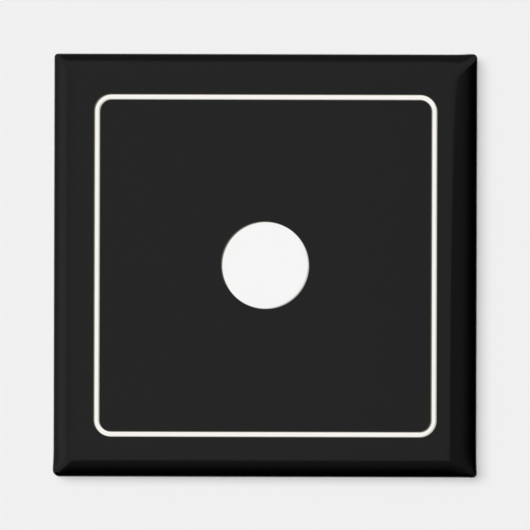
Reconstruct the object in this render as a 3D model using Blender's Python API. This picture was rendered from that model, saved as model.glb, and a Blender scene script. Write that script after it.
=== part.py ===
"""A square domino tile with one pip: a printed paper under clear film, wrapped over a pressed
tinplate shell, crimped round a tinplate back plate that carries a flexible magnet sheet.

The tile lies face up. The origin is the centre of the magnet sheet's resting face, +Z points out
of the printed face, and +Y is the top of the printed design. Lengths are in metres.
"""

import math

import bmesh
import bpy

# Overall size
TILE_SIDE = 0.0508
TILE_THICKNESS = 0.0048

# Layers, from the outside in, and the air left between touching solids
FILM_THICKNESS = 0.00005
PAPER_THICKNESS = 0.00010
TINPLATE_THICKNESS = 0.00025
ADHESIVE_THICKNESS = 0.00005
MAGNET_THICKNESS = 0.0012
LAYER_GAP = 0.00002

# Section of the wrapped shell, measured on the outside of the film
SHOULDER_WIDTH = 0.0034
SHOULDER_DROP = 0.0008
SHOULDER_POWER = 1.6
EDGE_BEND_RADIUS = 0.0006
RIM_BEND_RADIUS = 0.0007
RIM_WIDTH = 0.0020
RIM_RISE = 0.00025
LIP_BEND_RADIUS = 0.0005
LIP_HEIGHT = 0.00075

# Back plate, adhesive and magnet sheet
PLATE_INSET = 0.0006
PLATE_SKIRT_BOTTOM = 0.00076
PLATE_BEND_RADIUS = 0.00035
SQUARE_CORNER_RADIUS = 0.0006
MAGNET_CLEARANCE = 0.00015
ADHESIVE_MARGIN = 0.0006

# The four corners of the wrap: which side in X and Y, the corner radius, and how far the folded
# paper and film push the sides out along X and Y as they reach the corner
WRAP_CORNERS = (
    ((1, 1), 0.00060, (0.0, 0.00007)),
    ((-1, 1), 0.00050, (0.0, 0.0)),
    ((-1, -1), 0.00090, (0.00008, 0.0)),
    ((1, -1), 0.00057, (0.00006, 0.00002)),
)
STAND_OUT_LENGTH = 0.0024
SMALLEST_RADIUS = 0.00004
SQUARE_CORNERS = [(signs, SQUARE_CORNER_RADIUS, (0.0, 0.0)) for signs, _, _ in WRAP_CORNERS]

# Depths of the wrapped layers below the film's outer face
PAPER_DEPTH = FILM_THICKNESS + LAYER_GAP
SHELL_DEPTH = PAPER_DEPTH + PAPER_THICKNESS + LAYER_GAP

# Heights and sizes of the stack on the back
ADHESIVE_BOTTOM = MAGNET_THICKNESS + LAYER_GAP
ADHESIVE_TOP = ADHESIVE_BOTTOM + ADHESIVE_THICKNESS
PLATE_TOP = ADHESIVE_TOP + LAYER_GAP + TINPLATE_THICKNESS
MAGNET_HALF_SIDE = TILE_SIDE / 2 - RIM_WIDTH - MAGNET_CLEARANCE

# Fineness of the mesh
SHOULDER_STEPS = 4
BEND_STEPS = 3
CORNER_STEPS = 3
SIDE_STATIONS = (0.45, 1.0)


def arc(centre, radius, start, end, steps):
    """Points of a section arc after its first, with angles in degrees."""
    points = []
    for step in range(1, steps + 1):
        angle = math.radians(start + (end - start) * step / steps)
        points.append((centre[0] + radius * math.cos(angle), centre[1] + radius * math.sin(angle)))
    return points


def wrap_section():
    """The film's outer face from the edge of the flat to the end of the tucked lip.

    Each point is (how far in from the tile's side, height).
    """
    points = [(SHOULDER_WIDTH, TILE_THICKNESS)]
    steepness = SHOULDER_POWER * SHOULDER_DROP / SHOULDER_WIDTH
    bend_start = math.atan(steepness)
    bend_inset = EDGE_BEND_RADIUS * (1 - math.sin(bend_start))
    span = SHOULDER_WIDTH - bend_inset
    for step in range(1, SHOULDER_STEPS + 1):
        share = step / SHOULDER_STEPS
        drop = SHOULDER_DROP * share**SHOULDER_POWER
        points.append((SHOULDER_WIDTH - span * share, TILE_THICKNESS - drop))
    bend_top = points[-1][1]
    centre = (EDGE_BEND_RADIUS, bend_top - EDGE_BEND_RADIUS * math.cos(bend_start))
    points += arc(centre, EDGE_BEND_RADIUS, 90 + math.degrees(bend_start), 180, BEND_STEPS)
    centre = (RIM_BEND_RADIUS, RIM_RISE + RIM_BEND_RADIUS)
    points.append((0.0, centre[1]))
    points += arc(centre, RIM_BEND_RADIUS, 180, 270, BEND_STEPS)
    centre = (RIM_WIDTH - LIP_BEND_RADIUS, RIM_RISE + LIP_BEND_RADIUS)
    points.append((centre[0], RIM_RISE))
    points += arc(centre, LIP_BEND_RADIUS, 270, 360, BEND_STEPS)
    points.append((RIM_WIDTH, RIM_RISE + LIP_HEIGHT))
    return points


def plate_section():
    """The back plate's upper face from the edge of the flat to the foot of its skirt."""
    centre = (PLATE_INSET + PLATE_BEND_RADIUS, PLATE_TOP - PLATE_BEND_RADIUS)
    points = [(centre[0], PLATE_TOP)]
    points += arc(centre, PLATE_BEND_RADIUS, 90, 180, BEND_STEPS)
    points.append((PLATE_INSET, PLATE_SKIRT_BOTTOM))
    return points


def offset_section(points, depth):
    """The section moved in by depth, as (inset, height, shrink).

    shrink is how much nearer the middle the point now is than on the face it was moved from.
    """
    on_the_flat = (points[0][0] + SHOULDER_WIDTH, points[0][1])
    path = [on_the_flat, *points]
    normals = []
    for start, end in zip(path, path[1:]):
        length = math.dist(start, end)
        normals.append(((start[1] - end[1]) / length, (end[0] - start[0]) / length))
    normals.append(normals[-1])
    moved = []
    for (inset, height), before, after in zip(points, normals, normals[1:]):
        normal_inset = (before[0] + after[0]) / 2
        normal_height = (before[1] + after[1]) / 2
        square = normal_inset**2 + normal_height**2
        shrink = depth * normal_inset / square
        moved.append((inset + shrink, height + depth * normal_height / square, shrink))
    return moved


def outline(half_side, shrink, corners):
    """Points of a rounded square, anticlockwise, with each corner's own radius and stand-out."""
    points = []
    for (sign_x, sign_y), radius, (out_x, out_y) in corners:
        radius = max(radius - shrink, SMALLEST_RADIUS)
        centre_x = half_side - radius + out_x
        centre_y = half_side - radius + out_y
        on_x_side = []
        on_y_side = []
        for station in reversed(SIDE_STATIONS):
            along = station * STAND_OUT_LENGTH
            left = (1 - station) ** 2
            on_x_side.append((half_side + out_x * left, centre_y - along))
            on_y_side.insert(0, (centre_x - along, half_side + out_y * left))
        curve = []
        for step in range(CORNER_STEPS + 1):
            angle = math.pi / 2 * step / CORNER_STEPS
            curve.append((centre_x + radius * math.cos(angle), centre_y + radius * math.sin(angle)))
        run = on_x_side + curve + on_y_side
        if sign_x * sign_y < 0:
            run.reverse()
        points += [(sign_x * x, sign_y * y) for x, y in run]
    return points


def add_ring(mesh, half_side, shrink, height, corners):
    """One loop of vertices round the tile."""
    return [mesh.verts.new((x, y, height)) for x, y in outline(half_side, shrink, corners)]


def join_rings(mesh, rings):
    """Quads between each ring and the next."""
    for upper, lower in zip(rings, rings[1:]):
        for index, corner in enumerate(upper):
            following = (index + 1) % len(upper)
            mesh.faces.new((upper[following], corner, lower[index], lower[following]))


def add_part(name, mesh, colour, metallic, roughness):
    """A named object with its own material, from a closed bmesh."""
    bmesh.ops.recalc_face_normals(mesh, faces=mesh.faces)
    data = bpy.data.meshes.new(name)
    mesh.to_mesh(data)
    mesh.free()
    data.shade_smooth()
    data.set_sharp_from_angle(angle=math.radians(40))
    material = bpy.data.materials.new(name)
    material.use_nodes = True
    shader = material.node_tree.nodes["Principled BSDF"]
    shader.inputs["Base Color"].default_value = (*colour, 1.0)
    shader.inputs["Metallic"].default_value = metallic
    shader.inputs["Roughness"].default_value = roughness
    data.materials.append(material)
    part = bpy.data.objects.new(name, data)
    bpy.context.scene.collection.objects.link(part)
    return part


def pressed_sheet(name, section, depth, thickness, corners, **finish):
    """A sheet of even thickness formed to a section, depth below the face that section gives."""
    mesh = bmesh.new()
    faces = []
    for layer in (depth, depth + thickness):
        rings = []
        for inset, height, shrink in offset_section(section, layer):
            rings.append(add_ring(mesh, TILE_SIDE / 2 - inset, shrink, height, corners))
        faces.append(rings)
    outer, inner = faces
    join_rings(mesh, outer + inner[::-1])
    mesh.faces.new(outer[0])
    mesh.faces.new(inner[0][::-1])
    return add_part(name, mesh, **finish)


def flat_sheet(name, half_side, bottom, top, **finish):
    """A flat square sheet with rounded corners."""
    mesh = bmesh.new()
    upper = add_ring(mesh, half_side, 0.0, top, SQUARE_CORNERS)
    lower = add_ring(mesh, half_side, 0.0, bottom, SQUARE_CORNERS)
    join_rings(mesh, [upper, lower])
    mesh.faces.new(upper)
    mesh.faces.new(lower[::-1])
    return add_part(name, mesh, **finish)


for existing in list(bpy.data.objects):
    bpy.data.objects.remove(existing)

pressed_sheet(
    "clear_film", wrap_section(), 0.0, FILM_THICKNESS, WRAP_CORNERS,
    colour=(0.03, 0.03, 0.03), metallic=0.0, roughness=0.08,
)
pressed_sheet(
    "printed_face", wrap_section(), PAPER_DEPTH, PAPER_THICKNESS, WRAP_CORNERS,
    colour=(0.015, 0.015, 0.015), metallic=0.0, roughness=0.6,
)
pressed_sheet(
    "front_shell", wrap_section(), SHELL_DEPTH, TINPLATE_THICKNESS, WRAP_CORNERS,
    colour=(0.72, 0.72, 0.70), metallic=1.0, roughness=0.3,
)
pressed_sheet(
    "back_plate", plate_section(), 0.0, TINPLATE_THICKNESS, SQUARE_CORNERS,
    colour=(0.70, 0.70, 0.68), metallic=1.0, roughness=0.35,
)
flat_sheet(
    "adhesive_layer", MAGNET_HALF_SIDE - ADHESIVE_MARGIN, ADHESIVE_BOTTOM, ADHESIVE_TOP,
    colour=(0.80, 0.76, 0.62), metallic=0.0, roughness=0.4,
)
flat_sheet(
    "magnet_sheet", MAGNET_HALF_SIDE, 0.0, MAGNET_THICKNESS,
    colour=(0.045, 0.040, 0.036), metallic=0.0, roughness=0.65,
)
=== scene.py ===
import math

import bmesh
import bpy
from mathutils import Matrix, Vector


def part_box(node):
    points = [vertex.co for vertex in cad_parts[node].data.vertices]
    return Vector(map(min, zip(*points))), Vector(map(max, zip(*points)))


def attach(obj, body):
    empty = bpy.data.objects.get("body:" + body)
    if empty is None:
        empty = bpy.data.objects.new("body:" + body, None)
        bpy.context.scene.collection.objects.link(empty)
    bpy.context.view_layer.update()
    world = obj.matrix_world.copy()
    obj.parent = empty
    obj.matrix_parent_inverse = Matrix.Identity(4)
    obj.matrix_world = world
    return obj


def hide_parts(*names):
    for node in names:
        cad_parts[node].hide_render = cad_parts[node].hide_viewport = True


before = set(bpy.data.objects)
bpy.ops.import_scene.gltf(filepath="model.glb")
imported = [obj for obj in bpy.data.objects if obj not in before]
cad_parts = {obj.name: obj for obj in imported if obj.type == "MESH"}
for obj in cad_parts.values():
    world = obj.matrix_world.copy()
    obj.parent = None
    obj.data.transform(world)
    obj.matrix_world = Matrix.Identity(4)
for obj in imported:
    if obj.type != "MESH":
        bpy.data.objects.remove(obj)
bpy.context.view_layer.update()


# Front shell
# A square of 0.25 mm tinplate, drawn over a die into a flat face with a soft shoulder and upright
# sides. Its rim is rolled in and turned up, and the paper and the film are wrapped round it.

film_low, film_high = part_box("clear_film")
tile_half_side = 0.0254
tile_top = film_high.z
rim_bottom = film_low.z
shoulder_width = 0.0034
shoulder_drop = 0.0008
shoulder_power = 1.6
edge_bend_radius = 0.0006
rim_bend_radius = 0.0007
rim_width = 0.0020
lip_bend_radius = 0.0005
lip_height = 0.00075
film_thickness = 0.00005
paper_thickness = 0.00010
tinplate_thickness = 0.00025
layer_gap = 0.00002
smooth_angle = math.radians(40)


def select_only(piece=None):
    """Leaves edit mode and selects one piece, or nothing."""
    if bpy.context.mode == "EDIT_MESH":
        bpy.ops.object.mode_set(mode="OBJECT")
    bpy.ops.object.select_all(action="DESELECT")
    if piece:
        piece.select_set(True)
        bpy.context.view_layer.objects.active = piece


def edit(piece):
    """Opens one piece in edit mode, with nothing of it selected."""
    select_only(piece)
    bpy.ops.object.mode_set(mode="EDIT")
    bpy.ops.mesh.select_mode(type="VERT")
    bpy.ops.mesh.select_all(action="DESELECT")


def pick(wanted):
    """Selects the vertices that wanted accepts, with the edges and faces between them."""
    bpy.ops.mesh.select_mode(type="VERT")
    bpy.ops.mesh.select_all(action="DESELECT")
    data = bpy.context.edit_object.data
    mesh = bmesh.from_edit_mesh(data)
    for vertex in mesh.verts:
        if wanted(vertex.co):
            vertex.select_set(True)
    mesh.select_flush_mode()
    bmesh.update_edit_mesh(data)


def pick_edges(wanted):
    """Selects the edges that wanted accepts."""
    bpy.ops.mesh.select_mode(type="EDGE")
    bpy.ops.mesh.select_all(action="DESELECT")
    data = bpy.context.edit_object.data
    mesh = bmesh.from_edit_mesh(data)
    chosen = [edge for edge in mesh.edges if wanted(edge)]
    for edge in chosen:
        edge.select_set(True)
    bmesh.update_edit_mesh(data)


def new_plane(name, half_side, height):
    """A square plane round the Z axis, opened in edit mode."""
    select_only()
    bpy.ops.mesh.primitive_plane_add(size=2 * half_side, location=(0, 0, height))
    piece = bpy.context.object
    piece.name = name
    bpy.ops.object.transform_apply(location=True, rotation=True, scale=True)
    edit(piece)
    return piece


def round_corner(side_x, side_y, radius, segments):
    """Rounds one corner of a flat square in the edit mesh."""
    pick(lambda co: co.x * side_x > 0 and co.y * side_y > 0)
    bpy.ops.mesh.bevel(offset=radius, segments=segments, affect="VERTICES")


def arc(centre, radius, start, end, steps):
    """Points of a section arc after its first, with angles in degrees."""
    points = []
    for step in range(1, steps + 1):
        angle = math.radians(start + (end - start) * step / steps)
        points.append((centre[0] + radius * math.cos(angle), centre[1] + radius * math.sin(angle)))
    return points


def extrude_section(start, points, half_side):
    """Draws the open edge of the edit mesh from start through section points of (inset, height)."""
    bpy.ops.mesh.select_all(action="SELECT")
    bpy.ops.mesh.region_to_loop()
    inset, height = start
    for next_inset, next_height in points:
        growth = (half_side - next_inset) / (half_side - inset)
        rise = {"value": (0, 0, next_height - height)}
        bpy.ops.mesh.extrude_edges_move(TRANSFORM_OT_translate=rise)
        bpy.ops.transform.resize(value=(growth, growth, 1), center_override=(0, 0, 0))
        inset = next_inset
        height = next_height


def sheet_from(form, name, depth, thickness):
    """A closed sheet of even thickness, its outer face depth below the form's."""
    select_only(form)
    bpy.ops.object.duplicate()
    piece = bpy.context.object
    piece.name = name
    edit(piece)
    bpy.ops.mesh.select_all(action="SELECT")
    bpy.ops.transform.shrink_fatten(value=-depth, use_even_offset=True)
    bpy.ops.object.mode_set(mode="OBJECT")
    bpy.ops.object.modifier_add(type="SOLIDIFY")
    solidify = piece.modifiers[-1]
    solidify.thickness = thickness
    solidify.offset = -1
    solidify.use_even_offset = True
    bpy.ops.object.modifier_apply(modifier=solidify.name)
    return piece


def finish_piece(piece, node):
    """Shades a piece and puts it in the frame in place of its plain node."""
    select_only(piece)
    bpy.ops.object.shade_smooth_by_angle(angle=smooth_angle)
    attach(piece, "root")
    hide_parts(node)


def new_material(name):
    """A material with its nodes cleared but for the output, and its tree."""
    material = bpy.data.materials.new(name)
    material.use_nodes = True
    for old in list(material.node_tree.nodes):
        if old.type != "OUTPUT_MATERIAL":
            material.node_tree.nodes.remove(old)
    return material, material.node_tree


def place(tree, kind, inputs=(), **settings):
    """Adds a node. inputs pairs each socket with a plain value or with the output that feeds it."""
    node = tree.nodes.new(kind)
    for name, value in settings.items():
        setattr(node, name, value)
    for socket, value in dict(inputs).items():
        if isinstance(value, bpy.types.NodeSocket):
            tree.links.new(value, node.inputs[socket])
        else:
            node.inputs[socket].default_value = value
    return node


def sum_of(tree, operation, *terms):
    """The output of one Math node."""
    return place(tree, "ShaderNodeMath", dict(enumerate(terms)), operation=operation).outputs[0]


def vector_of(tree, operation, *terms):
    """The output of one Vector Math node."""
    node = place(tree, "ShaderNodeVectorMath", dict(enumerate(terms)), operation=operation)
    return node.outputs["Value" if operation == "LENGTH" else "Vector"]


def between(tree, value, low, high, at_low=0.0, at_high=1.0, ramp="LINEAR"):
    """A value's place between low and high, as a number from at_low to at_high."""
    ends = {"From Min": low, "From Max": high, "To Min": at_low, "To Max": at_high}
    inputs = {"Value": value, **ends}
    return place(tree, "ShaderNodeMapRange", inputs, interpolation_type=ramp).outputs["Result"]


def blend_of(tree, share, first, second):
    """A colour between two others."""
    inputs = {"Factor": share, 6: first, 7: second}
    return place(tree, "ShaderNodeMix", inputs, data_type="RGBA").outputs[2]


def where_on(tree):
    """The place on the piece, in metres."""
    return place(tree, "ShaderNodeTexCoord").outputs["Object"]


def finish_material(tree, shader):
    """Joins a shader to the material's output."""
    tree.links.new(shader.outputs[0], tree.nodes["Material Output"].inputs["Surface"])


# The die's outline at the edge of the flat: each corner has the radius its own fold gives it, and
# the sides stand out by less than 0.1 mm where the folded paper and film push them.
flat_half_side = tile_half_side - shoulder_width
flat_share = flat_half_side / tile_half_side
corner_segments = 8
side_cuts = 36
corner_reach = 0.0045
corner_cuts = 5
arc_margin = 0.0002
stand_out_length = 0.0024
# Each corner's place in X and Y, its radius, and how far its sides stand out along X and Y
wrap_corners = (
    (1, 1, 0.00060, (0, 0.00007)),
    (-1, 1, 0.00050, (0, 0)),
    (-1, -1, 0.00090, (-0.00008, 0)),
    (1, -1, 0.00057, (0.00006, -0.00002)),
)
wrap_form = new_plane("wrap_form", flat_half_side, tile_top)
for side_x, side_y, radius, _ in wrap_corners:
    round_corner(side_x, side_y, radius * flat_share, corner_segments)
pick_edges(lambda edge: edge.calc_length() > flat_half_side)
bpy.ops.mesh.subdivide(number_cuts=side_cuts)


def is_near_corner(edge):
    """True for a piece of a straight side, not of a corner's arc, that comes near a corner."""
    middle = (edge.verts[0].co + edge.verts[1].co) / 2
    on_side = edge.calc_length() > flat_half_side / (side_cuts + 1)
    return on_side and min(abs(middle.x), abs(middle.y)) > flat_half_side - corner_reach


pick_edges(is_near_corner)
bpy.ops.mesh.subdivide(number_cuts=corner_cuts)
for side_x, side_y, radius, stand_out in wrap_corners:
    arc_start = flat_half_side - radius - arc_margin
    pick(lambda co: co.x * side_x > arc_start and co.y * side_y > arc_start)
    bpy.ops.transform.translate(
        value=(stand_out[0] * flat_share, stand_out[1] * flat_share, 0),
        use_proportional_edit=True,
        proportional_edit_falloff="SHARP",
        proportional_size=stand_out_length * flat_share,
    )

# A narrow ring inside the flat keeps the whole face true when the shoulder is shaded smooth.
face_ring_width = 0.00015
bpy.ops.mesh.select_all(action="SELECT")
bpy.ops.mesh.inset(thickness=face_ring_width, use_boundary=True)

shoulder_steps = 14
bend_steps = 6
steepness = shoulder_power * shoulder_drop / shoulder_width
bend_start = math.atan(steepness)
bend_inset = edge_bend_radius * (1 - math.sin(bend_start))
section = []
for step in range(1, shoulder_steps + 1):
    share = step / shoulder_steps
    inset = shoulder_width - (shoulder_width - bend_inset) * share
    section.append((inset, tile_top - shoulder_drop * share**shoulder_power))
bend_centre = (edge_bend_radius, section[-1][1] - edge_bend_radius * math.cos(bend_start))
section += arc(bend_centre, edge_bend_radius, 90 + math.degrees(bend_start), 180, bend_steps)
rim_centre = (rim_bend_radius, rim_bottom + rim_bend_radius)
wall_middle = (bend_centre[1] + rim_centre[1]) / 2
section += [(0, wall_middle), (0, rim_centre[1])]
section += arc(rim_centre, rim_bend_radius, 180, 270, bend_steps)
lip_centre = (rim_width - lip_bend_radius, rim_bottom + lip_bend_radius)
section += [((rim_centre[0] + lip_centre[0]) / 2, rim_bottom), (lip_centre[0], rim_bottom)]
section += arc(lip_centre, lip_bend_radius, 270, 360, bend_steps)
section.append((rim_width, rim_bottom + lip_height))
extrude_section((shoulder_width, tile_top), section, tile_half_side)

# The shoulders meet in a crisp mitre at the flat, which softens to the full corner at the side.
mitre_share = 0.25
corner_margin = 1.02
height_margin = 0.000001
shoulder_rings = [(shoulder_width, tile_top)] + section[:shoulder_steps]
for step, (inset, height) in enumerate(shoulder_rings):
    share = step / shoulder_steps
    sharpening = mitre_share + (1 - mitre_share) * share**2
    ring_half_side = tile_half_side - inset
    growth = ring_half_side / tile_half_side
    for side_x, side_y, radius, stand_out in wrap_corners:
        tip = Vector((side_x * ring_half_side, side_y * ring_half_side, height))
        tip += Vector((*stand_out, 0)) * growth
        reach = radius * growth * corner_margin
        pick(
            lambda co: abs(co.z - height) < height_margin
            and abs(co.x - tip.x) < reach and abs(co.y - tip.y) < reach
        )
        bpy.ops.transform.resize(value=(sharpening, sharpening, 1), center_override=tip)

# At the lower right the fold draws both shoulders down past the flat's edges, by up to 0.06 mm.
corner_fall = 0.05
shoulder_span = shoulder_width - bend_inset
shoulder_foot = tile_top - shoulder_drop - height_margin
mesh = bmesh.from_edit_mesh(wrap_form.data)
for vertex in mesh.verts:
    near, far = sorted((vertex.co.x - flat_half_side, -vertex.co.y - flat_half_side))
    if vertex.co.z > shoulder_foot and near > 0 and far < shoulder_span:
        vertex.co.z -= corner_fall * near * (1 - (far / shoulder_span) ** 2)
bmesh.update_edit_mesh(wrap_form.data)

paper_depth = film_thickness + layer_gap
shell_depth = paper_depth + paper_thickness + layer_gap
front_shell = sheet_from(wrap_form, "pressed_shell", shell_depth, tinplate_thickness)
finish_piece(front_shell, "front_shell")


def new_group(name, inputs, output):
    """A node group with named inputs and one number out: its tree, and the sockets at both ends."""
    tree = bpy.data.node_groups.new(name, "ShaderNodeTree")
    for socket, kind in inputs.items():
        tree.interface.new_socket(socket, in_out="INPUT", socket_type=kind)
    tree.interface.new_socket(output, in_out="OUTPUT", socket_type="NodeSocketFloat")
    given = tree.nodes.new("NodeGroupInput").outputs
    result = tree.nodes.new("NodeGroupOutput").inputs[output]
    return tree, given, result


def fine_grain_group():
    """Grain of a given size and stretch, as a value about zero."""
    tree, given, result = new_group("fine grain", {
        "Position": "NodeSocketVector", "Per metre": "NodeSocketVector", "Detail": "NodeSocketFloat",
    }, "Grain")
    scaled = vector_of(tree, "MULTIPLY", given["Position"], given["Per metre"])
    inputs = {"Vector": scaled, "Scale": 1.0, "Detail": given["Detail"]}
    noise = place(tree, "ShaderNodeTexNoise", inputs)
    tree.links.new(between(tree, noise.outputs["Fac"], 0.25, 0.75, -1.0, 1.0), result)
    return tree


fine_grain = fine_grain_group()


def grain(tree, position, per_metre, detail=2.0):
    """The grain group's output, with per_metre grains to the metre along X, Y and Z."""
    inputs = {"Position": position, "Per metre": per_metre, "Detail": detail}
    return place(tree, "ShaderNodeGroup", inputs, node_tree=fine_grain).outputs["Grain"]


def tinplate_material(name):
    """Bare satin tinplate, with fine lines left along X by the mill and a faint cloudiness."""
    dull_tin = (0.66, 0.66, 0.64, 1)
    bright_tin = (0.78, 0.78, 0.76, 1)
    line_depth = 0.0000004
    material, tree = new_material(name)
    position = where_on(tree)
    rolling = grain(tree, position, (400, 16000, 16000), 3.0)
    cloud = grain(tree, position, (180, 180, 180), 3.0)
    cloudiness = sum_of(tree, "MULTIPLY", cloud, 0.5)
    tone = sum_of(tree, "ADD", sum_of(tree, "MULTIPLY", rolling, 0.35), cloudiness)
    colour = blend_of(tree, between(tree, tone, -1.0, 1.0), dull_tin, bright_tin)
    bump = place(tree, "ShaderNodeBump", {"Strength": 1.0, "Distance": line_depth, "Height": rolling})
    shader = place(tree, "ShaderNodeBsdfPrincipled", {
        "Base Color": colour,
        "Metallic": 1.0,
        "Roughness": between(tree, tone, -1.0, 1.0, 0.24, 0.38),
        "Normal": bump.outputs[0],
    })
    finish_material(tree, shader)
    return material


tinplate = tinplate_material("satin tinplate")
front_shell.data.materials.append(tinplate)


# Printed face
# White paper with a gloss coat, printed solid black but for a square line and one pip. It is cut
# larger than the face and wrapped over the shell, and its corners are folded under in pleats.

pleat_pitch = 0.0011
pleat_depth = 0.000045
pleat_fade = 0.003
pleats_to_a_side = 3
pleat_half_width = pleat_pitch / 5
pleat_shift = 0.0001
pleat_top = rim_bottom + rim_bend_radius * 0.45


def along_side(co):
    """How far a point lies from the nearest corner line; less than 0 on the sides facing Y."""
    reach = tile_half_side * (1 - min(abs(co.x), abs(co.y)) / max(abs(co.x), abs(co.y)))
    return reach if abs(co.x) > abs(co.y) else -reach


edit(wrap_form)
for side_x, side_y, _, _ in wrap_corners:
    for pleat in range(-pleats_to_a_side, pleats_to_a_side + 1):
        place_along = pleat * pleat_pitch + pleat_shift * side_x
        depth = pleat_depth * math.exp(-abs(place_along) / pleat_fade)
        pick(
            lambda co: co.x * side_x > 0 and co.y * side_y > 0 and co.z < pleat_top
            and abs(along_side(co) - place_along) < pleat_half_width
        )
        bpy.ops.transform.shrink_fatten(value=depth, use_even_offset=True)

printed_face = sheet_from(wrap_form, "wrapped_print", paper_depth, paper_thickness)
finish_piece(printed_face, "printed_face")

line_outer_half = 0.02042
line_width = 0.00057
line_corner_radius = 0.0020
pip_radius = 0.00518
line_centre = (0.000050, -0.000048)
pip_centre = (0.000026, 0.000004)
undertone_shift = (-0.00015, 0.00009)


def printed_shapes_group():
    """How far a point of the face lies outside the line and the pip; less than 0 within them."""
    tree, given, result = new_group("printed shapes", {"Position": "NodeSocketVector"}, "Distance")
    flat = vector_of(tree, "MULTIPLY", given["Position"], (1, 1, 0))
    corner = line_outer_half - line_corner_radius
    from_line_centre = vector_of(tree, "SUBTRACT", flat, (*line_centre, 0))
    in_one_corner = vector_of(tree, "ABSOLUTE", from_line_centre)
    past = vector_of(tree, "SUBTRACT", in_one_corner, (corner, corner, corner))
    split = place(tree, "ShaderNodeSeparateXYZ", {"Vector": past})
    round_part = vector_of(tree, "LENGTH", vector_of(tree, "MAXIMUM", past, (0, 0, 0)))
    straight = sum_of(tree, "MAXIMUM", split.outputs["X"], split.outputs["Y"])
    straight = sum_of(tree, "MINIMUM", straight, 0.0)
    outside = sum_of(tree, "ADD", round_part, straight)
    outside = sum_of(tree, "SUBTRACT", outside, line_corner_radius)
    off_line = sum_of(tree, "ABSOLUTE", sum_of(tree, "ADD", outside, line_width / 2))
    off_line = sum_of(tree, "SUBTRACT", off_line, line_width / 2)
    from_pip_centre = vector_of(tree, "SUBTRACT", flat, (*pip_centre, 0))
    off_pip = sum_of(tree, "SUBTRACT", vector_of(tree, "LENGTH", from_pip_centre), pip_radius)
    tree.links.new(sum_of(tree, "MINIMUM", off_line, off_pip), result)
    return tree


def paper_material():
    """Gloss-coated paper printed twice, in grey and then in black, a little out of register.

    Both leave the line and the pip open. The grey shows alone inside their right and lower
    edges, and the black lies on bare paper, brownish, along their left and upper edges.
    """
    thin_black = (0.0006, 0.0006, 0.0006, 1)
    full_black = (0.0003, 0.0003, 0.0003, 1)
    black_on_paper = (0.14, 0.125, 0.092, 1)
    undertone = (0.50, 0.50, 0.47, 1)
    pip_paper = (0.878, 0.878, 0.874, 1)
    line_paper = (0.898, 0.880, 0.838, 1)
    soiled_paper = (0.75, 0.74, 0.72, 1)
    end_of_pip_paper = 0.010
    start_of_line_paper = 0.012
    edge_softness = 0.000006
    edge_roughness = 0.000004
    fibre_height = 0.0000002
    material, tree = new_material("printed paper")
    shapes = printed_shapes_group()
    position = where_on(tree)
    ragged = grain(tree, position, (9000, 9000, 9000), 2.0)
    rough_edge = sum_of(tree, "MULTIPLY", ragged, edge_roughness)

    def open_in_print(at):
        """The share of bare paper that one printing leaves at a place."""
        node = place(tree, "ShaderNodeGroup", {"Position": at}, node_tree=shapes)
        distance = sum_of(tree, "ADD", node.outputs["Distance"], rough_edge)
        return between(tree, distance, edge_softness, -edge_softness)

    open_in_black = open_in_print(position)
    open_in_undertone = open_in_print(
        vector_of(tree, "SUBTRACT", position, (*undertone_shift, 0))
    )
    mottle = grain(tree, position, (2500, 2500, 2500), 4.0)
    cloud = grain(tree, position, (220, 220, 220), 2.0)
    ink = blend_of(tree, between(tree, cloud, -1.0, 1.0), full_black, thin_black)
    away = place(tree, "ShaderNodeSeparateXYZ", {"Vector": vector_of(tree, "ABSOLUTE", position)})
    from_middle = sum_of(tree, "MAXIMUM", away.outputs["X"], away.outputs["Y"])
    at_line = between(tree, from_middle, end_of_pip_paper, start_of_line_paper)
    sheet = blend_of(tree, at_line, pip_paper, line_paper)
    sheet = blend_of(tree, between(tree, mottle, -1.0, 1.0, 0.0, 0.03), sheet, soiled_paper)
    under_black = blend_of(tree, open_in_undertone, ink, black_on_paper)
    in_the_open = blend_of(tree, open_in_undertone, undertone, sheet)
    colour = blend_of(tree, open_in_black, under_black, in_the_open)
    fibre = grain(tree, position, (14000, 14000, 14000), 4.0)
    bump = place(tree, "ShaderNodeBump", {"Strength": 1.0, "Distance": fibre_height, "Height": fibre})
    shader = place(tree, "ShaderNodeBsdfPrincipled", {
        "Base Color": colour,
        "Roughness": between(tree, mottle, -1.0, 1.0, 0.06, 0.11),
        "Normal": bump.outputs[0],
    })
    finish_material(tree, shader)
    return material


printed_face.data.materials.append(paper_material())


# Clear film
# A 0.05 mm sheet of clear gloss polyester lies over the print and is wrapped and crimped with it.
# It shares the hard black shine with the coated print, and carries the faint scuffs of handling.

clear_film = sheet_from(wrap_form, "wrapped_film", 0.0, film_thickness)
finish_piece(clear_film, "clear_film")
bpy.data.objects.remove(wrap_form)


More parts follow.
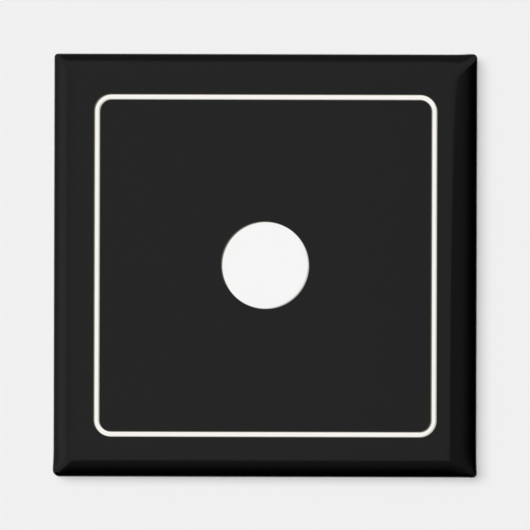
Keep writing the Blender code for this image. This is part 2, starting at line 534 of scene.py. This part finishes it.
def fine_scratches_group():
    """Hair-thin straight scratches in three directions, broken into short lengths."""
    directions = ((0.35, 0.0), (1.25, 3.1), (2.3, 7.7))
    lengthening = (0.03, 1.0, 1.0)
    patches_to_the_metre = 260.0
    tree, given, result = new_group("fine scratches", {
        "Position": "NodeSocketVector", "Per metre": "NodeSocketFloat",
    }, "Scratches")
    total = 0.0
    for turn, shift in directions:
        turned = place(tree, "ShaderNodeVectorRotate", {
            "Vector": given["Position"], "Angle": turn,
        }, rotation_type="Z_AXIS").outputs[0]
        long_way = vector_of(tree, "MULTIPLY", turned, lengthening)
        lines = place(tree, "ShaderNodeTexNoise", {
            "Vector": vector_of(tree, "ADD", long_way, (shift, shift, 0)),
            "Scale": given["Per metre"],
            "Detail": 0.0,
        }).outputs["Fac"]
        off_centre = sum_of(tree, "ABSOLUTE", sum_of(tree, "SUBTRACT", lines, 0.5))
        thin = between(tree, off_centre, 0.006, 0.0)
        patches = place(tree, "ShaderNodeTexNoise", {
            "Vector": vector_of(tree, "ADD", turned, (shift, 0, 0)),
            "Scale": patches_to_the_metre,
            "Detail": 1.0,
        }).outputs["Fac"]
        unbroken = sum_of(tree, "SUBTRACT", 1.0, between(tree, patches, 0.62, 0.56))
        total = sum_of(tree, "MAXIMUM", total, sum_of(tree, "MULTIPLY", thin, unbroken))
    tree.links.new(total, result)
    return tree


fine_scratches = fine_scratches_group()


def scratches(tree, position, per_metre):
    """The scratch group's output, with per_metre places for a scratch to the metre."""
    inputs = {"Position": position, "Per metre": per_metre}
    return place(tree, "ShaderNodeGroup", inputs, node_tree=fine_scratches).outputs["Scratches"]


def film_material():
    """Clear film: a thin mirror that strengthens at a glancing view, over nothing."""
    surface_height = 0.000004
    material, tree = new_material("clear gloss film")
    position = where_on(tree)
    wave = grain(tree, position, (130, 130, 130), 1.0)
    peel = grain(tree, position, (1100, 1100, 1100), 1.0)
    scratch = scratches(tree, position, 900.0)
    height = sum_of(tree, "ADD", wave, sum_of(tree, "MULTIPLY", peel, 0.04))
    height = sum_of(tree, "SUBTRACT", height, sum_of(tree, "MULTIPLY", scratch, 0.1))
    bump = place(tree, "ShaderNodeBump", {
        "Strength": 1.0, "Distance": surface_height, "Height": height,
    })
    smudge = grain(tree, position, (90, 90, 90), 3.0)
    roughness = between(tree, smudge, -1.0, 1.0, 0.03, 0.07)
    roughness = sum_of(tree, "ADD", roughness, sum_of(tree, "MULTIPLY", scratch, 0.25))
    fresnel = place(tree, "ShaderNodeFresnel", {"IOR": 1.5})
    back = place(tree, "ShaderNodeNewGeometry").outputs["Backfacing"]
    share = sum_of(tree, "MULTIPLY", fresnel.outputs[0], sum_of(tree, "SUBTRACT", 1.0, back))
    clear = place(tree, "ShaderNodeBsdfTransparent")
    shine = place(tree, "ShaderNodeBsdfGlossy", {
        "Color": (1, 1, 1, 1), "Roughness": roughness, "Normal": bump.outputs[0],
    })
    mixed = place(tree, "ShaderNodeMixShader", {
        0: share, 1: clear.outputs[0], 2: shine.outputs[0],
    })
    finish_material(tree, mixed)
    return material


clear_film.data.materials.append(film_material())


# Back plate
# A flat square of the same tinplate with its edge turned down. The press drives the edge into the
# rolled rim of the shell, which grips it along with the folded paper and film.

plate_inset = 0.0006
plate_bend_radius = 0.00035
plate_skirt_bottom = 0.00076
square_corner_radius = 0.0006
plate_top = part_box("back_plate")[1].z
plate_flat_inset = plate_inset + plate_bend_radius
back_plate_half = tile_half_side - plate_flat_inset
plate_form = new_plane("plate_form", back_plate_half, plate_top)
for side_x, side_y, _, _ in wrap_corners:
    round_corner(side_x, side_y, square_corner_radius, corner_segments)
bpy.ops.mesh.select_all(action="SELECT")
bpy.ops.mesh.inset(thickness=face_ring_width, use_boundary=True)
plate_bend_centre = (plate_flat_inset, plate_top - plate_bend_radius)
plate_section = arc(plate_bend_centre, plate_bend_radius, 90, 180, bend_steps)
plate_section.append((plate_inset, plate_skirt_bottom))
extrude_section((plate_flat_inset, plate_top), plate_section, tile_half_side)
back_plate = sheet_from(plate_form, "crimped_plate", 0.0, tinplate_thickness)
finish_piece(back_plate, "back_plate")
bpy.data.objects.remove(plate_form)
back_plate.data.materials.append(tinplate)


# Adhesive layer
# A 0.05 mm sheet of pale transfer adhesive holds the magnet to the plate. It is cut a little
# smaller than the magnet and shows only as a thin milky edge.

edge_segments = 3


def rounded_slab(name, low, high, corner_radius, edge_radius):
    """A square slab between two corners of a box, its upright and its flat edges rounded."""
    select_only()
    middle = (low + high) / 2
    bpy.ops.mesh.primitive_cube_add(size=1, location=middle, scale=high - low)
    piece = bpy.context.object
    piece.name = name
    bpy.ops.object.transform_apply(location=True, rotation=True, scale=True)
    edit(piece)
    pick_edges(lambda edge: abs(edge.verts[0].co.z - edge.verts[1].co.z) > (high.z - low.z) / 2)
    bpy.ops.mesh.bevel(offset=corner_radius, segments=corner_segments, affect="EDGES")
    for side in (1, -1):
        pick(lambda co: (co.z - middle.z) * side > 0)
        bpy.ops.mesh.inset(thickness=face_ring_width, use_boundary=True)
    if edge_radius:
        # The edges between the two flat faces and the sides
        pick_edges(lambda edge: len({abs(face.normal.z) > 0.5 for face in edge.link_faces}) == 2)
        bpy.ops.mesh.bevel(offset=edge_radius, segments=edge_segments, affect="EDGES")
    return piece


def adhesive_material():
    """Milky pressure adhesive with small trapped bubbles."""
    dark_adhesive = (0.76, 0.71, 0.56, 1)
    pale_adhesive = (0.84, 0.80, 0.67, 1)
    bubble_white = (0.90, 0.88, 0.80, 1)
    bubble_height = 0.000004
    material, tree = new_material("transfer adhesive")
    position = where_on(tree)
    bubbles = place(tree, "ShaderNodeTexVoronoi", {"Vector": position, "Scale": 1400.0})
    bubble = between(tree, bubbles.outputs["Distance"], 0.20, 0.12)
    cloud = grain(tree, position, (500, 500, 500), 3.0)
    colour = blend_of(tree, between(tree, cloud, -1.0, 1.0), dark_adhesive, pale_adhesive)
    colour = blend_of(tree, bubble, colour, bubble_white)
    bump = place(tree, "ShaderNodeBump", {
        "Strength": 1.0, "Distance": bubble_height, "Height": bubble,
    })
    shader = place(tree, "ShaderNodeBsdfPrincipled", {
        "Base Color": colour,
        "Roughness": between(tree, cloud, -1.0, 1.0, 0.35, 0.5),
        "Normal": bump.outputs[0],
    })
    finish_material(tree, shader)
    return material


adhesive_layer = rounded_slab("adhesive_sheet", *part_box("adhesive_layer"), square_corner_radius, 0)
finish_piece(adhesive_layer, "adhesive_layer")
adhesive_layer.data.materials.append(adhesive_material())


# Magnet sheet
# A die-cut square of 1.2 mm flexible magnet, ferrite powder in rubber, is the face the tile rests
# on. It is matt and nearly black, with fine drawing lines and the pale scuffs of sliding on steel.


def magnet_material():
    """Ferrite-filled rubber: speckled, faintly lined by the extruder, scuffed where it rubs."""
    dark_rubber = (0.030, 0.027, 0.025, 1)
    pale_rubber = (0.060, 0.053, 0.048, 1)
    scuffed_rubber = (0.16, 0.15, 0.14, 1)
    surface_height = 0.000006
    material, tree = new_material("flexible magnet")
    position = where_on(tree)
    speckle = grain(tree, position, (9000, 9000, 9000), 4.0)
    drawn = grain(tree, position, (25, 2600, 2600), 3.0)
    cloud = grain(tree, position, (120, 120, 120), 3.0)
    scuff = scratches(tree, position, 500.0)
    tone = sum_of(tree, "MULTIPLY", speckle, 0.4)
    for mark in (drawn, cloud):
        tone = sum_of(tree, "ADD", tone, sum_of(tree, "MULTIPLY", mark, 0.4))
    colour = blend_of(tree, between(tree, tone, -1.0, 1.0), dark_rubber, pale_rubber)
    colour = blend_of(tree, sum_of(tree, "MULTIPLY", scuff, 0.5), colour, scuffed_rubber)
    height = sum_of(tree, "ADD", sum_of(tree, "MULTIPLY", speckle, 0.5), drawn)
    bump = place(tree, "ShaderNodeBump", {
        "Strength": 1.0, "Distance": surface_height, "Height": height,
    })
    roughness = between(tree, tone, -1.0, 1.0, 0.5, 0.68)
    shader = place(tree, "ShaderNodeBsdfPrincipled", {
        "Base Color": colour,
        "Roughness": sum_of(tree, "SUBTRACT", roughness, sum_of(tree, "MULTIPLY", scuff, 0.12)),
        "Normal": bump.outputs[0],
    })
    finish_material(tree, shader)
    return material


magnet_cut_radius = 0.00006
magnet_sheet = rounded_slab(
    "flexible_magnet", *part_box("magnet_sheet"), square_corner_radius, magnet_cut_radius
)
finish_piece(magnet_sheet, "magnet_sheet")
magnet_sheet.data.materials.append(magnet_material())


# Floor
# A plain pale sheet that the tile lies on. It shows in no reflection, and from underneath it is
# clear, so that the back of the tile can be looked at.

floor_albedo = 0.80
floor_half_side = 1.6
floor_height = -0.00002
floor = new_plane("floor", floor_half_side, floor_height)
bpy.ops.object.mode_set(mode="OBJECT")
floor_material, tree = new_material("pale floor")
floor_colour = (floor_albedo, floor_albedo, floor_albedo, 1)
matt = place(tree, "ShaderNodeBsdfDiffuse", {"Color": floor_colour})
clear = place(tree, "ShaderNodeBsdfTransparent")
shadow_ray = place(tree, "ShaderNodeLightPath").outputs["Is Shadow Ray"]
back = place(tree, "ShaderNodeNewGeometry").outputs["Backfacing"]
seen_through = sum_of(tree, "MAXIMUM", shadow_ray, back)
floor_shader = place(tree, "ShaderNodeMixShader", {
    0: seen_through, 1: matt.outputs[0], 2: clear.outputs[0],
})
finish_material(tree, floor_shader)
floor.data.materials.append(floor_material)
floor.visible_glossy = False


# Lamps
# One hard lamp straight above gives the largest share of the light. Three level panels that reach
# from there to the upper left give the short soft shadow along the right and the bottom, and a
# lamp from below lights the back.

full_light = 3.53
overhead_share = 0.42
underside_light = 2.6
panel_height = 12.0


def add_lamp(name, kind, power, **settings):
    """A lamp that neither the camera nor the gloss sees."""
    data = bpy.data.lights.new(name, kind)
    data.energy = power
    for setting, value in settings.items():
        setattr(data, setting, value)
    lamp = bpy.data.objects.new(name, data)
    lamp.visible_glossy = False
    lamp.visible_camera = False
    bpy.context.scene.collection.objects.link(lamp)
    return lamp


def add_panel(name, share, tilt_x, tilt_y):
    """A level panel, overhead between two tilts along X and two along Y, in degrees."""
    left, right = (panel_height * math.tan(math.radians(tilt)) for tilt in tilt_x)
    near, far = (panel_height * math.tan(math.radians(tilt)) for tilt in tilt_y)
    middle = Vector(((left + right) / 2, (near + far) / 2, panel_height))
    fall_off = (panel_height / middle.length) ** 4
    power = share * full_light * math.pi * panel_height**2 / fall_off
    lamp = add_lamp(name, "AREA", power, shape="RECTANGLE", size=right - left, size_y=far - near)
    lamp.location = middle


add_lamp("overhead_lamp", "SUN", overhead_share * full_light, angle=0.0)
add_panel("wide_panel", 0.29, (-31.8, 0), (0, 23.7))
add_panel("middle_panel", 0.16, (-22.8, 0), (0, 16.7))
add_panel("near_panel", 0.10, (-8.5, 0), (0, 6.3))
underside = add_lamp("underside_lamp", "SUN", underside_light, angle=0.5)
underside.rotation_euler = (math.radians(155), math.radians(20), 0)


# Surroundings
# The gloss shows a large soft light overhead with a brighter edge on the left, a dim ceiling beyond
# it that falls to black towards the right and the bottom, and a faint glow at the lower right.

backdrop = 0.88
fill_light = 0.03
mirror_level = 0.518
floor_in_mirror = 0.8
top_ceiling_level = 0.21
low_glow_level = 0.22
light_edge = 0.035
world = bpy.data.worlds.new("studio")
world.use_nodes = True
bpy.context.scene.world = world
tree = world.node_tree
tree.nodes.clear()
direction = place(tree, "ShaderNodeTexCoord").outputs["Generated"]
towards = place(tree, "ShaderNodeSeparateXYZ", {"Vector": direction})
to_right, to_top, up = towards.outputs


def ramp(value, stops):
    """A brightness that follows value through (value, brightness) stops."""
    low = stops[0][0]
    high = stops[-1][0]
    node = tree.nodes.new("ShaderNodeFloatCurve")
    points = node.mapping.curves[0].points
    while len(points) < len(stops):
        points.new(0.5, 0.5)
    for point, (stop, level) in zip(points, stops):
        point.location = ((stop - low) / (high - low), level)
        point.handle_type = "VECTOR"
    node.mapping.update()
    tree.links.new(between(tree, value, low, high), node.inputs["Value"])
    return node.outputs[0]


def one_or_other(share, first, second):
    """A brightness between two others."""
    return place(tree, "ShaderNodeMix", {"Factor": share, "A": first, "B": second}).outputs[0]


soft_light = ramp(to_right, (
    (-1.0, 0.33), (-0.76, 0.36), (-0.73, 0.55), (-0.70, 0.605), (-0.65, 0.555), (-0.60, 0.42),
    (-0.55, 0.42), (-0.50, 0.47), (-0.08, 0.49), (0.0, 0.48), (0.07, 0.45), (0.2, 0.43),
))
tilt = sum_of(tree, "MULTIPLY", sum_of(tree, "ARCCOSINE", up), 180 / math.pi)
ceiling = ramp(tilt, (
    (0, 0.19), (31, 0.19), (35.6, 0.168), (40, 0.117),
    (43.3, 0.063), (46, 0.018), (48.5, 0.0), (180, 0.0),
))
top_ceiling = sum_of(tree, "MULTIPLY", between(tree, to_top, 0.30, 0.55), top_ceiling_level)
ceiling = sum_of(tree, "MAXIMUM", ceiling, top_ceiling)
light_reach = ramp(to_top, (
    (-1.0, 0.10), (-0.13, 0.10), (-0.07, 0.135), (0.0, 0.19),
    (0.05, 0.33), (0.065, 0.45), (0.1, 0.8), (1.0, 1.0),
))
past_right = sum_of(tree, "SUBTRACT", to_right, light_reach)
in_light = between(tree, past_right, light_edge, -light_edge, ramp="SMOOTHSTEP")
for dark_at, light_at in ((-0.55, -0.515), (0.72, 0.69)):
    inside = between(tree, to_top, dark_at, light_at, ramp="SMOOTHSTEP")
    in_light = sum_of(tree, "MULTIPLY", in_light, inside)
above = one_or_other(in_light, ceiling, soft_light)
low_glow = sum_of(
    tree, "MULTIPLY",
    between(tree, to_right, 0.38, 0.55, 0.0, low_glow_level, ramp="SMOOTHSTEP"),
    between(tree, to_top, -0.38, -0.55, ramp="SMOOTHSTEP"),
)
above = sum_of(tree, "MAXIMUM", above, low_glow)
mirrored = one_or_other(between(tree, up, -0.1, -0.3), above, floor_in_mirror)
mirrored = sum_of(tree, "MULTIPLY", mirrored, mirror_level)
path = place(tree, "ShaderNodeLightPath").outputs
brightness = one_or_other(path["Is Glossy Ray"], fill_light, mirrored)
brightness = one_or_other(path["Is Camera Ray"], brightness, backdrop)
sky = place(tree, "ShaderNodeBackground", {"Color": brightness})
place(tree, "ShaderNodeOutputWorld", {"Surface": sky.outputs[0]})


# Camera
# It looks straight down on the face from 0.36 m with a long lens, and is turned about a seventh of a
# degree out of square.

camera_data = bpy.data.cameras.new("camera")
camera_data.lens = 200
camera_data.sensor_width = 36
camera_data.clip_start = 0.01
camera_data.clip_end = 10
camera = bpy.data.objects.new("camera", camera_data)
camera.location = (-0.000052, 0.000070, 0.35630)
camera.rotation_euler = (0, 0, 0.0026)
bpy.context.scene.collection.objects.link(camera)
bpy.context.scene.camera = camera
bpy.context.scene.view_settings.view_transform = "Standard"
